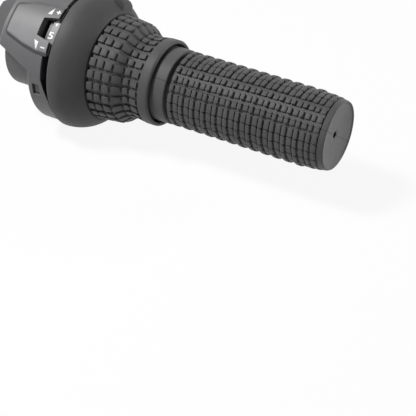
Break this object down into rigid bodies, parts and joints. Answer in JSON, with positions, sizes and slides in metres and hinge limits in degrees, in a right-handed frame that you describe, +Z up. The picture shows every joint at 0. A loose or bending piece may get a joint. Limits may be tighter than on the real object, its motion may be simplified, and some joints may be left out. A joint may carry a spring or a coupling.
{
  "type": "twist grip shifter",
  "caption": "Right-hand indexed twist grip shifter for a bicycle handlebar, with a numbered window and a stationary blocked rubber half grip beside it.",
  "frame": {"origin": "on the handlebar's axis, at the inboard face of the clamp collar", "axes": "+X along the handlebar towards its open end, +Y forward, +Z up"},
  "size_m": [0.1762, 0.0644, 0.0644],
  "materials": {
    "housing_plastic": "fine satin mould texture",
    "cover_plastic": "satin, with printed marks",
    "liner_plastic": "smooth",
    "core_plastic": "smooth",
    "number_plastic": "satin, with printed numbers",
    "adjuster_plastic": "satin",
    "grip_rubber": "matte, finely textured",
    "half_grip_rubber": "matte, finely textured",
    "fastener_steel": "zinc plated",
    "spring_steel": "bright",
    "insert_brass": "turned"
  },
  "bodies": {
    "shifter_body": {"main_housing": "housing_plastic", "indicator_cover": "cover_plastic", "liner_tube": "liner_plastic", "clamp_bolt": "fastener_steel", "bolt_washer": "fastener_steel", "clamp_nut": "fastener_steel", "cable_guide": "liner_plastic", "adjuster_insert": "insert_brass", "adjuster_spring": "spring_steel", "detent_spring": "spring_steel", "retaining_ring": "liner_plastic", "cable_port_plug": "grip_rubber", "thrust_washer": "liner_plastic", "half_grip": "half_grip_rubber"},
    "twist_grip": {"grip_sleeve": "core_plastic", "grip_rubber": "grip_rubber", "cable_spool": "core_plastic", "detent_ring": "core_plastic", "number_ring": "number_plastic"},
    "adjuster": {"barrel_adjuster": "adjuster_plastic"}
  },
  "joints": [
    {"name": "grip_twist", "type": "hinge", "parent": "shifter_body", "child": "twist_grip", "pos_m": [0.04, 0, 0], "axis": [1, 0, 0], "range_deg": [-12.5, 50], "deforming": ["detent_spring"]},
    {"name": "adjuster_turn", "type": "hinge", "parent": "shifter_body", "child": "adjuster", "pos_m": [-0.01, 0.00981, 0.017], "axis": [1, 0, 0], "continuous": true}
  ]
}
